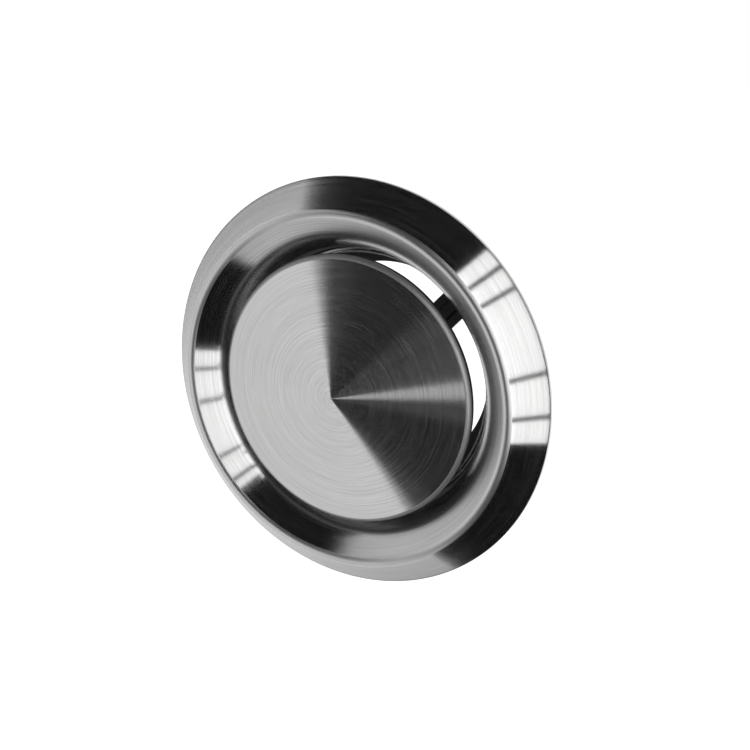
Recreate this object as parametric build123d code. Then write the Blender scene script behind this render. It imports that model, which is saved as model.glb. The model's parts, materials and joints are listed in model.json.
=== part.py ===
from build123d import *
from math import cos, degrees, pi, radians, sin, sqrt, tan
import os

# Extract air valve for a 100 mm duct: a spun ring with a bellmouth, and a shallow conical disc that
# screws in and out on a spindle to set the air gap.
# Every piece is drawn about the valve's axis, Z, with the wall's face at Z = 0 and the room at +Z.
# UPRIGHT then stands the valve on a wall, with its front to -Y and +Z up.
UPRIGHT = Rot(X=90)

# Front ring, spun from stainless sheet. Its front face runs from the outer edge up the flare, over
# the crest and down the bellmouth to the throat. The throat sets the valve's size: the rest of the
# ring, the disc, the collar and what sits on them are measured from it.
RING_SHEET = 0.8
THROAT_DIAMETER = 89.4
THROAT_LAND = 1.2  # stretch behind the bellmouth's curve, to the in-turned edge
BELLMOUTH_WIDTH = 14.0  # across the ring, from the throat to the crest's sharp corner
BELLMOUTH_SLOPE = 36.0  # degrees from the wall's plane
BELLMOUTH_RADIUS = 17.0
CREST_HEIGHT = 12.1  # sharp corner above the wall's face
CREST_RADIUS = 2.3
FLARE_WIDTH = 10.3  # across the ring, from that corner to the outer edge
EDGE_RETURN = 1.2  # short straight turn at the outer edge
EDGE_RADIUS = 0.9
TURN_IN = 1.9  # width of the throat's in-turned edge
TURN_IN_RADIUS = 0.9
BEAD_RADIUS = 0.55  # curl of that edge

# Neck collar, black sheet, seated on the bellmouth's back
COLLAR_SHEET = 1.0
COLLAR_SEAT_LAND = 1.2  # straight edge of the seat, past the bellmouth's curve
COLLAR_LENGTH = 16.3  # from the throat's end to the front face of the rear lip
COLLAR_LIP = 9.85  # in-turned width of that lip
COLLAR_BEND_RADIUS = 1.5
SEAT_GAP = 0.05  # between sheets that are welded or bonded together

# Flange gasket, foam strip bonded inside the flare
GASKET_MARGIN = 2.5  # from the ring's outer edge
GASKET_WIDTH = 9.5
GASKET_HEIGHT = 5.0

# Bridge bar, pressed from strip and riveted across the collar's rear lip
BRIDGE_ANGLE = 46.0  # degrees from level, seen from the room
BAR_SHEET = 1.5
BAR_WIDTH = 10.4
BAR_END_CLEARANCE = 0.5  # from the bend of the collar
RIB_WIDTH = 4.6
RIB_HEIGHT = 0.9
RIB_DRAFT = 35.0
RIB_START = 10.5  # from the axis
RIB_END_GAP = 1.4  # from the rib's outer end to the rivet's head
BAR_HOLE_CLEARANCE = 0.3

# Rivets
RIVET_SHANK_RADIUS = 1.5
RIVET_HEAD_RADIUS = 2.7
RIVET_HEAD_HEIGHT = 1.2
RIVET_DOME_RADIUS = 0.9
RIVET_TAIL_RADIUS = 2.4
RIVET_TAIL_HEIGHT = 0.8
RIVET_CLEARANCE = 0.05

# Spindle, M6 by 1, with a riveted head at the front and a clip groove at the rear
SPINDLE_RADIUS = 3.0
SPINDLE_CHAMFER = 0.5
SPINDLE_HEAD_RADIUS = 5.2
SPINDLE_HEAD_HEIGHT = 1.5
SPINDLE_TAIL = 1.5  # behind the clip groove
GROOVE_DEPTH = 0.7
STOP_SHEET = 0.8
STOP_RADIUS = 5.4
STOP_BAND = 1.5  # width of the clip's outer band
STOP_MOUTH = 4.2
STOP_LUG_WIDTH = 1.8
STOP_LUG_ANGLES = (90, 180, 270)  # the mouth is at 0
STOP_PLAY = 0.1  # each side of the clip in its groove
THREAD_CLEARANCE = 0.05

# Nuts and washer on the spindle
NUT_SIDES = 6
NUT_FLATS = 10.0
NUT_HEIGHT = 5.0
NUT_CHAMFER_ANGLE = 30.0
NUT_FACE_SHARE = 0.95  # round of the nut's face, as a share of the flats
WASHER_RADIUS = 6.0
WASHER_BORE_CLEARANCE = 0.2
WASHER_HEIGHT = 1.6

# Valve disc, spun from the same sheet, drawn at the opening of its rest position
DISC_OVERLAP = 0.45  # of the rim past the throat, all round
DISC_RISE = 9.0  # from the rim's sharp corner to the apex
DISC_SET_BACK = 2.7  # rim's sharp corner behind the crest's
DISC_RIM_RADIUS = 1.7
DISC_SKIRT = 3.4
DISC_HEM = 2.2
DISC_HEM_RADIUS = 1.1
DISC_OPENS = 12.0  # travel from rest until the stop clip meets the bridge nut
STOP_GAP = 0.6  # left at that limit

# Disc hub, a pressed pan welded inside the disc
HUB_SHEET = 1.0
HUB_PAN_RADIUS = 7.0
HUB_SEAT_RADIUS = 9.5
HUB_RIM_RADIUS = 16.0
HUB_PAN_DEPTH = 3.0
HUB_BEND_RADIUS = 1.6

# Spring clips that hold the valve in the duct, bent from spring strip
CLIP_COUNT = 3
CLIP_FIRST_ANGLE = 16.0
CLIP_SHEET = 0.6
CLIP_WIDTH = 10.0
CLIP_RIVET_SETBACK = 6.1  # from the throat's end to the rivet
CLIP_ROOT_LEAD = 4.5  # root in front of the rivet
CLIP_ROOT_TAIL = 8.5  # bend behind the rivet
CLIP_BEND_RADIUS = 1.4
CLIP_CROWN_STAND = 4.65  # crown's sharp corner outside the collar
CLIP_CROWN_LEAD = 3.0  # that corner in front of the rivet
CLIP_CROWN_RADIUS = 3.0
CLIP_TIP_LEAD = 7.0  # tip in front of the rivet
CLIP_TIP_DROP = 2.0  # tip inside the crown

# Places that several pieces share
throat_radius = THROAT_DIAMETER / 2
crest_radius = throat_radius + BELLMOUTH_WIDTH
flange_radius = crest_radius + FLARE_WIDTH
bellmouth_corner_z = CREST_HEIGHT - BELLMOUTH_WIDTH * tan(radians(BELLMOUTH_SLOPE))
bellmouth_end_z = bellmouth_corner_z - BELLMOUTH_RADIUS * tan(radians(90 - BELLMOUTH_SLOPE) / 2)
throat_end_z = bellmouth_end_z - THROAT_LAND
collar_inner_radius = throat_radius + RING_SHEET + SEAT_GAP
collar_outer_radius = collar_inner_radius + COLLAR_SHEET
collar_hole_radius = collar_inner_radius - COLLAR_LIP
lip_z = throat_end_z - COLLAR_LENGTH
bar_front_z = lip_z + BAR_SHEET
bar_reach = collar_inner_radius - COLLAR_BEND_RADIUS - BAR_END_CLEARANCE
bridge_rivet_place = (collar_hole_radius + bar_reach) / 2
nut_bore_radius = SPINDLE_RADIUS + THREAD_CLEARANCE
bridge_nut_rear_z = lip_z - NUT_HEIGHT
stop_front_z = bridge_nut_rear_z - DISC_OPENS - STOP_GAP
disc_radius = throat_radius + DISC_OVERLAP
disc_slope = DISC_RISE / disc_radius
disc_corner_z = CREST_HEIGHT - DISC_SET_BACK
disc_apex_z = disc_corner_z + DISC_RISE
clip_root_radius = collar_outer_radius + SEAT_GAP
clip_rivet_z = throat_end_z - CLIP_RIVET_SETBACK
clip_angles = [CLIP_FIRST_ANGLE + step * 360 / CLIP_COUNT for step in range(CLIP_COUNT)]


def sheet_section(corners, radii, thickness):
    """Section of a bent sheet, in radius and height.

    Its face runs through the corners, with a bend radius at each inner one, and the sheet lies to
    the left of that run, or to the right where the thickness is negative.
    """
    face = [Vector(*corner) for corner in corners]
    runs = [(end - start).normalized() for start, end in zip(face, face[1:])]
    sides = [Vector(-run.Y, run.X) * thickness for run in runs]
    back = [face[0] + sides[0]]
    back_radii = []
    for bend, radius in enumerate(radii, start=1):
        before, after = sides[bend - 1], sides[bend]
        back.append(face[bend] + (before + after) / (1 + before.dot(after) / thickness**2))
        turns_left = runs[bend - 1].cross(runs[bend]).Z > 0
        back_radii.append(radius - thickness if turns_left else radius + thickness)
    back.append(face[-1] + sides[-1])
    face_line = FilletPolyline(*face, radius=radii)
    back_line = FilletPolyline(*back, radius=back_radii)
    ends = [Line(face[0], back[0]), Line(face[-1], back[-1])]
    return make_face([*face_line.edges(), *back_line.edges(), *ends])


def spun(section):
    """Turn a section in radius and height once round the valve's axis."""
    return revolve(Plane.XZ * section, Axis.Z)


def post(radius, low, high):
    """Round bar on the valve's axis between two heights."""
    return Pos(0, 0, low) * Cylinder(radius, high - low, align=(Align.CENTER, Align.CENTER, Align.MIN))


def front_ring():
    """Flange, crest, bellmouth and throat in one spun sheet, with a curled, in-turned edge behind."""
    corners = [
        (flange_radius, 0),
        (flange_radius, EDGE_RETURN),
        (crest_radius, CREST_HEIGHT),
        (throat_radius, bellmouth_corner_z),
        (throat_radius, throat_end_z),
        (throat_radius - TURN_IN, throat_end_z),
    ]
    bends = [EDGE_RADIUS, CREST_RADIUS, BELLMOUTH_RADIUS, TURN_IN_RADIUS]
    bead = Pos(throat_radius - TURN_IN, throat_end_z - RING_SHEET / 2) * Circle(BEAD_RADIUS)
    return spun(sheet_section(corners, bends, RING_SHEET) + bead)


def rivet(grip):
    """Rivet along Z with the underside of its dome at Z = 0 and its closed tail a grip below."""
    head = post(RIVET_HEAD_RADIUS, 0, RIVET_HEAD_HEIGHT)
    dome = fillet(head.edges().group_by(Axis.Z)[-1], RIVET_DOME_RADIUS)
    tail = post(RIVET_TAIL_RADIUS, -grip - RIVET_TAIL_HEIGHT, -grip)
    return dome + post(RIVET_SHANK_RADIUS, -grip, 0) + tail


def clip_rivet_places():
    """Places on the clips' outer faces, with Z pointing out from the valve's axis."""
    seat_radius = clip_root_radius + CLIP_SHEET + RIVET_CLEARANCE
    seat = Pos(seat_radius, 0, clip_rivet_z) * Rot(Y=90)
    return [Rot(Z=angle) * seat for angle in clip_angles]


def clip_rivet_grip():
    """Length from a clip's outer face to the flat under the tail, inside the round collar."""
    tail_seat = sqrt(collar_inner_radius**2 - RIVET_TAIL_RADIUS**2) - RIVET_CLEARANCE
    return clip_root_radius + CLIP_SHEET + RIVET_CLEARANCE - tail_seat


def clip_rivet_holes():
    """Drillings for the clips' rivets, through the clips and the collar."""
    drill_radius = RIVET_SHANK_RADIUS + RIVET_CLEARANCE
    drill = Cylinder(drill_radius, 4 * clip_rivet_grip())
    return [place * drill for place in clip_rivet_places()]


def bridge_rivet_places():
    """Places on the bar's front face, one at each end of the bar."""
    turned = Rot(Z=BRIDGE_ANGLE)
    return [turned * Pos(end * bridge_rivet_place, 0, bar_front_z) for end in (-1, 1)]


def bridge_rivet_holes():
    """Drillings for the bridge's rivets, through the bar and the collar's lip."""
    drill_radius = RIVET_SHANK_RADIUS + RIVET_CLEARANCE
    drill = Cylinder(drill_radius, 4 * (BAR_SHEET + COLLAR_SHEET))
    return [place * drill for place in bridge_rivet_places()]


def neck_collar():
    """Collar behind the ring: a seat on the bellmouth's back, a wall and an in-turned rear lip."""
    slope = radians(BELLMOUTH_SLOPE)
    gap = RING_SHEET + SEAT_GAP
    seat_radius = BELLMOUTH_RADIUS - gap
    half_turn = (pi / 2 - slope) / 2
    seat_corner_z = bellmouth_corner_z - gap * tan(half_turn)
    seat_length = seat_radius * tan(half_turn) + COLLAR_SEAT_LAND
    corners = [
        (collar_hole_radius, lip_z),
        (collar_inner_radius, lip_z),
        (collar_inner_radius, seat_corner_z),
        (collar_inner_radius + seat_length * cos(slope), seat_corner_z + seat_length * sin(slope)),
    ]
    collar = spun(sheet_section(corners, [COLLAR_BEND_RADIUS, seat_radius], -COLLAR_SHEET))
    return collar - clip_rivet_holes() - bridge_rivet_holes()


def flare_back_height(radius):
    """Height of the flare's back face at a radius."""
    rise = (CREST_HEIGHT - EDGE_RETURN) / FLARE_WIDTH
    return EDGE_RETURN + (flange_radius - radius) * rise - RING_SHEET * sqrt(1 + rise**2)


def flare_back_radius(height):
    """Radius of the flare's back face at a height."""
    run = FLARE_WIDTH / (CREST_HEIGHT - EDGE_RETURN)
    return flange_radius - (height - EDGE_RETURN) * run - RING_SHEET * sqrt(1 + run**2)


def flange_gasket():
    """Foam strip against the wall, with its outer side bonded to the flare's back."""
    outer = flange_radius - GASKET_MARGIN
    inner = outer - GASKET_WIDTH
    corners = [
        (inner, 0),
        (outer, 0),
        (outer, flare_back_height(outer) - SEAT_GAP),
        (flare_back_radius(GASKET_HEIGHT) - SEAT_GAP, GASKET_HEIGHT),
        (inner, GASKET_HEIGHT),
    ]
    return spun(make_face(Polyline(*corners, close=True)))


def bridge_bar():
    """Flat strip across the lip with a pressed stiffening rib on each arm."""
    strip = Rectangle(2 * bar_reach, BAR_WIDTH) & Circle(bar_reach)
    bar = Pos(0, 0, lip_z) * extrude(strip, BAR_SHEET)
    rib_length = bridge_rivet_place - RIVET_HEAD_RADIUS - RIB_END_GAP - RIB_START
    pressed = extrude(SlotOverall(rib_length, RIB_WIDTH), RIB_HEIGHT, taper=RIB_DRAFT)
    wall = BAR_SHEET * tan(radians(90 - RIB_DRAFT) / 2)
    hollow = extrude(
        SlotOverall(rib_length - 2 * wall, RIB_WIDTH - 2 * wall), RIB_HEIGHT, taper=RIB_DRAFT
    )
    for arm in (-1, 1):
        middle = Pos(arm * (RIB_START + rib_length / 2), 0, lip_z)
        bar = bar + middle * Pos(0, 0, BAR_SHEET) * pressed - middle * hollow
    bar = bar - post(SPINDLE_RADIUS + BAR_HOLE_CLEARANCE, lip_z - BAR_SHEET, bar_front_z + BAR_SHEET)
    return Rot(Z=BRIDGE_ANGLE) * bar - bridge_rivet_holes()


def hex_nut(low):
    """Hexagon nut on the spindle, with its corners chamfered on both faces."""
    corner_radius = NUT_FLATS / 2 / cos(pi / NUT_SIDES)
    face_radius = NUT_FLATS / 2 * NUT_FACE_SHARE
    chamfer_height = (corner_radius - face_radius) * tan(radians(NUT_CHAMFER_ANGLE))
    prism = extrude(RegularPolygon(NUT_FLATS / 2, NUT_SIDES, major_radius=False), NUT_HEIGHT)
    turned = make_face(
        Polyline(
            (nut_bore_radius, 0),
            (face_radius, 0),
            (corner_radius, chamfer_height),
            (corner_radius, NUT_HEIGHT - chamfer_height),
            (face_radius, NUT_HEIGHT),
            (nut_bore_radius, NUT_HEIGHT),
            close=True,
        )
    )
    return Pos(0, 0, low) * (prism & spun(turned))


def lock_washer():
    """Flat washer between the bar and the lock nut."""
    bore = post(SPINDLE_RADIUS + WASHER_BORE_CLEARANCE, bar_front_z, bar_front_z + WASHER_HEIGHT)
    return post(WASHER_RADIUS, bar_front_z, bar_front_z + WASHER_HEIGHT) - bore


def valve_disc():
    """Shallow cone with its rim rolled over into a short skirt and a hem."""
    edge_z = disc_corner_z - DISC_SKIRT
    corners = [
        (0, disc_apex_z),
        (disc_radius, disc_corner_z),
        (disc_radius, edge_z),
        (disc_radius - DISC_HEM, edge_z),
    ]
    section = sheet_section(corners, [DISC_RIM_RADIUS, DISC_HEM_RADIUS], -RING_SHEET)
    off_axis = Rectangle(2 * disc_radius, 2 * disc_apex_z, align=(Align.MIN, Align.CENTER))
    return spun(section & off_axis)


def hub_seat_height(radius):
    """Height of the hub's front face where it lies against the inside of the disc."""
    return disc_apex_z - radius * disc_slope - (RING_SHEET + SEAT_GAP) * sqrt(1 + disc_slope**2)


def hub_pan_height():
    """Height of the hub's flat pan, which the spindle's head is riveted down on."""
    return hub_seat_height(HUB_SEAT_RADIUS) - HUB_PAN_DEPTH


def disc_hub():
    """Pressed pan: a flat middle that takes the spindle and a rim that follows the cone."""
    corners = [
        (SPINDLE_RADIUS + SEAT_GAP, hub_pan_height()),
        (HUB_PAN_RADIUS, hub_pan_height()),
        (HUB_SEAT_RADIUS, hub_seat_height(HUB_SEAT_RADIUS)),
        (HUB_RIM_RADIUS, hub_seat_height(HUB_RIM_RADIUS)),
    ]
    return spun(sheet_section(corners, [HUB_BEND_RADIUS, HUB_BEND_RADIUS], -HUB_SHEET))


def spindle():
    """Turned spindle: chamfered tail, clip groove, plain rod for the thread and riveted head."""
    groove_radius = SPINDLE_RADIUS - GROOVE_DEPTH
    groove_high = stop_front_z + STOP_PLAY
    groove_low = stop_front_z - STOP_SHEET - STOP_PLAY
    tail_z = groove_low - SPINDLE_TAIL
    head_z = hub_pan_height()
    head_top_z = head_z + SPINDLE_HEAD_HEIGHT
    turned = Polyline(
        (0, tail_z),
        (SPINDLE_RADIUS - SPINDLE_CHAMFER, tail_z),
        (SPINDLE_RADIUS, tail_z + SPINDLE_CHAMFER),
        (SPINDLE_RADIUS, groove_low),
        (groove_radius, groove_low),
        (groove_radius, groove_high),
        (SPINDLE_RADIUS, groove_high),
        (SPINDLE_RADIUS, head_z),
        (SPINDLE_HEAD_RADIUS, head_z),
        (SPINDLE_HEAD_RADIUS, head_top_z - SPINDLE_CHAMFER),
        (SPINDLE_HEAD_RADIUS - SPINDLE_CHAMFER, head_top_z),
        (0, head_top_z),
        close=True,
    )
    return spun(make_face(turned))


def spindle_stop():
    """Open retaining clip in the spindle's groove, gripping it with three lugs."""
    grip_radius = SPINDLE_RADIUS - GROOVE_DEPTH + THREAD_CLEARANCE
    band_radius = STOP_RADIUS - STOP_BAND
    clip = Circle(STOP_RADIUS) - Circle(band_radius)
    lug = Pos(grip_radius, 0) * Rectangle(
        STOP_RADIUS - STOP_BAND / 2 - grip_radius, STOP_LUG_WIDTH, align=(Align.MIN, Align.CENTER)
    )
    for angle in STOP_LUG_ANGLES:
        clip = clip + Rot(Z=angle) * lug
    mouth = Rectangle(2 * STOP_RADIUS, STOP_MOUTH, align=(Align.MIN, Align.CENTER))
    clip = clip - mouth - Circle(grip_radius)
    return Pos(0, 0, stop_front_z - STOP_SHEET) * extrude(clip, STOP_SHEET)


def spring_clip(angle):
    """Hairpin strip: a root on the collar, a bend at the rear and a sprung tongue towards the wall."""
    crown = collar_outer_radius + CLIP_CROWN_STAND
    hairpin = 2 * CLIP_BEND_RADIUS + CLIP_SHEET
    bend_z = clip_rivet_z - CLIP_ROOT_TAIL
    corners = [
        (clip_root_radius, clip_rivet_z + CLIP_ROOT_LEAD),
        (clip_root_radius, bend_z),
        (clip_root_radius + hairpin, bend_z),
        (crown, clip_rivet_z + CLIP_CROWN_LEAD),
        (crown - CLIP_TIP_DROP, clip_rivet_z + CLIP_TIP_LEAD),
    ]
    section = sheet_section(corners, [CLIP_BEND_RADIUS, CLIP_BEND_RADIUS, CLIP_CROWN_RADIUS], CLIP_SHEET)
    sweep = degrees(CLIP_WIDTH / collar_outer_radius)
    strip = revolve(Plane.XZ * section, Axis.Z, revolution_arc=sweep)
    return Rot(Z=angle - sweep / 2) * strip - clip_rivet_holes()


def build_nodes():
    """All pieces by name, about the valve's axis."""
    nodes = {
        "front_ring": front_ring(),
        "neck_collar": neck_collar(),
        "flange_gasket": flange_gasket(),
        "bridge_bar": bridge_bar(),
        "bridge_nut": Rot(Z=BRIDGE_ANGLE) * hex_nut(bridge_nut_rear_z),
        "lock_washer": lock_washer(),
        "lock_nut": Rot(Z=BRIDGE_ANGLE) * hex_nut(bar_front_z + WASHER_HEIGHT),
        "valve_disc": valve_disc(),
        "disc_hub": disc_hub(),
        "spindle": spindle(),
        "spindle_stop": spindle_stop(),
    }
    for number, place in enumerate(bridge_rivet_places(), start=1):
        nodes[f"bridge_rivet_{number}"] = place * rivet(BAR_SHEET + COLLAR_SHEET)
    for number, (angle, place) in enumerate(zip(clip_angles, clip_rivet_places()), start=1):
        nodes[f"spring_clip_{number}"] = spring_clip(angle)
        nodes[f"clip_rivet_{number}"] = place * rivet(clip_rivet_grip())
    return nodes


os.makedirs("parts", exist_ok=True)
for name, solid in build_nodes().items():
    export_step(UPRIGHT * solid, f"parts/{name}.step")
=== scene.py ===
"""Looks of the extract air valve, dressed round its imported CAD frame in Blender 4.5.

The valve stands as it hangs on a wall: the room is at -Y, the duct at +Y, and +Z is up. Every spun
piece turns about the Y axis. The classes hold their sizes in millimetres, as a drawing does, and
the meshes are made in metres.
"""

import json
import logging
import math
from collections.abc import Sequence
from dataclasses import dataclass, replace
from enum import Enum

import bmesh
import bpy
from mathutils import Matrix, Vector

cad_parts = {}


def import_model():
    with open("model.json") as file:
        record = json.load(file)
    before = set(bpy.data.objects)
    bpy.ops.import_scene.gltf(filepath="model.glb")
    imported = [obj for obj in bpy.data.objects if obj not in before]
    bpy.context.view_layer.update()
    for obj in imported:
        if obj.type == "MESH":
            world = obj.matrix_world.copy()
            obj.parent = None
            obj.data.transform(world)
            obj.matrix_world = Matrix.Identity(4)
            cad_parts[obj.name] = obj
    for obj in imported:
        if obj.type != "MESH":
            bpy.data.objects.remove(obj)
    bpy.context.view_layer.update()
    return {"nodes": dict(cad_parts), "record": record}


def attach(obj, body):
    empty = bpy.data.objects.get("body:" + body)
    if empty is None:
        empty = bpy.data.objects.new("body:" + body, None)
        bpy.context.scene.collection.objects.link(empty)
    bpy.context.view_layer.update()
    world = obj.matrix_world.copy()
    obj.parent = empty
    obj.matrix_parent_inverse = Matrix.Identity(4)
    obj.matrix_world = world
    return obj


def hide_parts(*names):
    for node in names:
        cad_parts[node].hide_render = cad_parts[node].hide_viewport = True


LOG = logging.getLogger("extract_air_valve")
MM = 0.001
SPIN_AXIS = Vector((0.0, 1.0, 0.0))
RUN_MAP = "turned"
CLIP_ANGLES = (16.0, 136.0, 256.0)
MERGE = 0.002 * MM
CUT_SLACK = 0.001 * MM
ON_AXIS = 0.01 * MM
ALL_SMOOTH = 180.0
SHARP_FROM = 30.0

Corner = tuple[float, float]
Tint = tuple[float, float, float]


class Body(Enum):
    """Bodies of the frame that the dressed pieces ride on."""

    HOUSING = "housing"
    DISC = "disc"


class Slot(Enum):
    """Material slots of the record."""

    STAINLESS = "stainless"
    BLACK_COAT = "black_coat"
    ZINC_STEEL = "zinc_steel"
    SPRING_STEEL = "spring_steel"
    FOAM = "foam"


class ShaderBench:
    """Places and links the nodes of one material or node group."""

    def __init__(self, tree: bpy.types.NodeTree) -> None:
        """Start on an empty tree.

        Args:
            tree: Node tree that the nodes go into.
        """
        self.tree = tree
        tree.nodes.clear()

    def node(self, kind: str, inputs: dict | None = None, **settings: object) -> bpy.types.Node:
        """Add a node.

        Args:
            kind: Blender's type name of the node.
            inputs: Values by socket name or number; a socket as the value is linked.
            **settings: The node's own options.

        Returns:
            The new node.
        """
        made = self.tree.nodes.new(kind)
        for option, value in settings.items():
            setattr(made, option, value)
        for socket, value in (inputs or {}).items():
            if isinstance(value, bpy.types.NodeSocket):
                self.tree.links.new(value, made.inputs[socket])
            else:
                made.inputs[socket].default_value = value
        return made

    def sum(self, operation: str, *terms: object) -> bpy.types.NodeSocket:
        """Work out one Math node.

        Args:
            operation: Name of the Math node's operation.
            *terms: Numbers or sockets, in the node's order.

        Returns:
            The result's socket.
        """
        made = self.node("ShaderNodeMath", dict(enumerate(terms)), operation=operation)
        return made.outputs[0]

    def spread(
        self, value: bpy.types.NodeSocket, low: float, high: float, start: float = 0.0, end: float = 1.0
    ) -> bpy.types.NodeSocket:
        """Map a value on to another span.

        Args:
            value: Socket of the value.
            low: Result at the start of the value's span.
            high: Result at its end.
            start: Where the value's span starts.
            end: Where it ends.

        Returns:
            The result's socket.
        """
        ends = {"Value": value, "From Min": start, "From Max": end, "To Min": low, "To Max": high}
        return self.node("ShaderNodeMapRange", ends).outputs["Result"]

    def seen_or_mirrored(self) -> bpy.types.NodeSocket:
        """Find whether the camera sees a thing, also in metal or through glass.

        Returns:
            Socket that is 1 for such a ray, and 0 for one that only lights something.
        """
        ray = self.node("ShaderNodeLightPath").outputs
        seen = self.sum("MAXIMUM", ray["Is Camera Ray"], ray["Is Glossy Ray"])
        return self.sum("MAXIMUM", seen, ray["Is Transmission Ray"])

    def tint(self, share: bpy.types.NodeSocket, first: Tint, second: Tint) -> bpy.types.NodeSocket:
        """Blend two colours.

        Args:
            share: Socket of the second colour's share.
            first: Colour at 0.
            second: Colour at 1.

        Returns:
            The colour's socket.
        """
        mixed = self.node("ShaderNodeMix", data_type="RGBA")
        colours = [socket for socket in mixed.inputs if socket.type == "RGBA"]
        colours[0].default_value = (*first, 1.0)
        colours[1].default_value = (*second, 1.0)
        self.tree.links.new(share, mixed.inputs[0])
        return [socket for socket in mixed.outputs if socket.type == "RGBA"][0]


class EffectGroups:
    """Shader node groups that several finishes share, each built once."""

    STREAK_LINES, STREAK_SHORTER = 1.0, 5.0
    BAND_LINES, BAND_SHORTER = 0.5, 1.0
    LINE_DETAIL, LINE_ROUGHNESS = 3.0, 0.6
    PATCH_DETAIL, GRAIN_DETAIL, CLOUD_ROUGHNESS = 3.0, 2.0, 0.55

    def __init__(self) -> None:
        """Start with no group built."""
        self.built: dict[str, bpy.types.NodeTree] = {}

    def _empty(self, name: str, takes: Sequence[str], gives: Sequence[str]) -> bpy.types.NodeTree:
        """Make a group with plain number sockets.

        Args:
            name: Name of the group.
            takes: Names of its inputs.
            gives: Names of its outputs.

        Returns:
            The group's tree, with its sockets and no nodes.
        """
        group = bpy.data.node_groups.new(name, "ShaderNodeTree")
        for socket in takes:
            group.interface.new_socket(name=socket, in_out="INPUT", socket_type="NodeSocketFloat")
        for socket in gives:
            group.interface.new_socket(name=socket, in_out="OUTPUT", socket_type="NodeSocketFloat")
        return group

    def brushed_rounds(self) -> bpy.types.NodeTree:
        """Fine lines that run round the valve's axis, as a spinning lathe's abrasive leaves them.

        Returns:
            Group with the inputs Spacing (metres) and Arcs, and the outputs Streak and Band.
        """
        if "brushed_rounds" in self.built:
            return self.built["brushed_rounds"]
        group = self._empty("brushed_rounds", ["Spacing", "Arcs"], ["Streak", "Band"])
        bench = ShaderBench(group)
        given = bench.node("NodeGroupInput").outputs
        place = bench.node("ShaderNodeTexCoord").outputs["Object"]
        flat = bench.node("ShaderNodeVectorMath", {0: place, 1: (1.0, 0.0, 1.0)}, operation="MULTIPLY")
        round_way = bench.node("ShaderNodeVectorMath", {0: flat.outputs[0]}, operation="NORMALIZE")
        run = bench.node("ShaderNodeUVMap", uv_map=RUN_MAP).outputs["UV"]
        across = bench.node("ShaderNodeSeparateXYZ", {0: run}).outputs["Y"]
        line = bench.sum("DIVIDE", across, given["Spacing"])
        results = []
        kinds = ((self.STREAK_LINES, self.STREAK_SHORTER), (self.BAND_LINES, self.BAND_SHORTER))
        for lines, shorter in kinds:
            length = {0: round_way.outputs[0], "Scale": bench.sum("MULTIPLY", given["Arcs"], shorter)}
            arcs = bench.node("ShaderNodeVectorMath", length, operation="SCALE")
            lift = bench.node("ShaderNodeCombineXYZ", {"Y": bench.sum("MULTIPLY", line, lines)})
            both = {0: arcs.outputs[0], 1: lift.outputs[0]}
            spot = bench.node("ShaderNodeVectorMath", both, operation="ADD").outputs[0]
            noise = {"Vector": spot, "Scale": 1.0, "Detail": self.LINE_DETAIL}
            noise["Roughness"] = self.LINE_ROUGHNESS
            results.append(bench.node("ShaderNodeTexNoise", noise).outputs["Fac"])
        bench.node("NodeGroupOutput", {"Streak": results[0], "Band": results[1]})
        self.built["brushed_rounds"] = group
        return group

    def cloud(self) -> bpy.types.NodeTree:
        """Soft patches with a finer grain on them, for plating, coats and foam.

        Returns:
            Group with the inputs Patch Scale and Grain Scale, and the outputs Patch and Grain.
        """
        if "cloud" in self.built:
            return self.built["cloud"]
        group = self._empty("cloud", ["Patch Scale", "Grain Scale"], ["Patch", "Grain"])
        bench = ShaderBench(group)
        given = bench.node("NodeGroupInput").outputs
        place = bench.node("ShaderNodeTexCoord").outputs["Object"]
        results = {}
        for gives, detail in (("Patch", self.PATCH_DETAIL), ("Grain", self.GRAIN_DETAIL)):
            noise = {"Vector": place, "Detail": detail, "Roughness": self.CLOUD_ROUGHNESS}
            noise["Scale"] = given[f"{gives} Scale"]
            results[gives] = bench.node("ShaderNodeTexNoise", noise).outputs["Fac"]
        bench.node("NodeGroupOutput", results)
        self.built["cloud"] = group
        return group


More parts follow.
